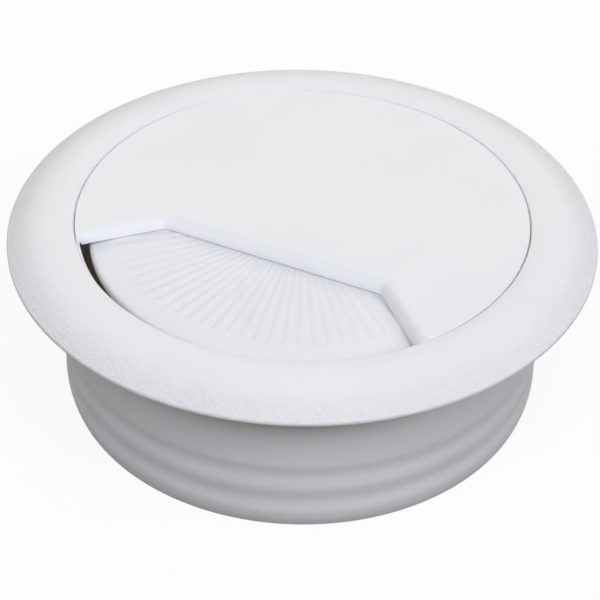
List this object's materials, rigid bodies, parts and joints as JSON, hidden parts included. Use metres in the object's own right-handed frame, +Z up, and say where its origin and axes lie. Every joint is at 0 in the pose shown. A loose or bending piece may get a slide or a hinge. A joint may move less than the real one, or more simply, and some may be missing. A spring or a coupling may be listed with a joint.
{
  "type": "desk cable grommet",
  "caption": "Round flanged desk cable grommet: a sleeve for the hole in a desk top, a flush lid with a cable notch in its rim, and a ribbed shutter that turns to close the notch.",
  "frame": {"origin": "on the grommet's axis, in the plane of the desk top, which is the underside of the flange", "axes": "+Z up along the sleeve's axis, out of the desk top; -Y out through the middle of the lid's cable notch"},
  "size_m": [0.07, 0.07, 0.0234],
  "materials": {
    "liner_plastic": "white moulded plastic, fine satin grain",
    "lid_plastic": "white moulded plastic, fine satin grain",
    "shutter_plastic": "white moulded plastic, fine satin grain"
  },
  "bodies": {
    "liner": {"liner": "liner_plastic"},
    "lid": {"lid": "lid_plastic"},
    "shutter": {"shutter": "shutter_plastic"}
  },
  "joints": [
    {"name": "lid_lift", "type": "slide", "parent": "liner", "child": "lid", "axis": [0, 0, 1], "range_m": [0, 0.025]},
    {"name": "shutter_turn", "type": "hinge", "parent": "lid", "child": "shutter", "pos_m": [0, 0, 0], "axis": [0, 0, 1], "range_deg": [-110, 0]}
  ]
}
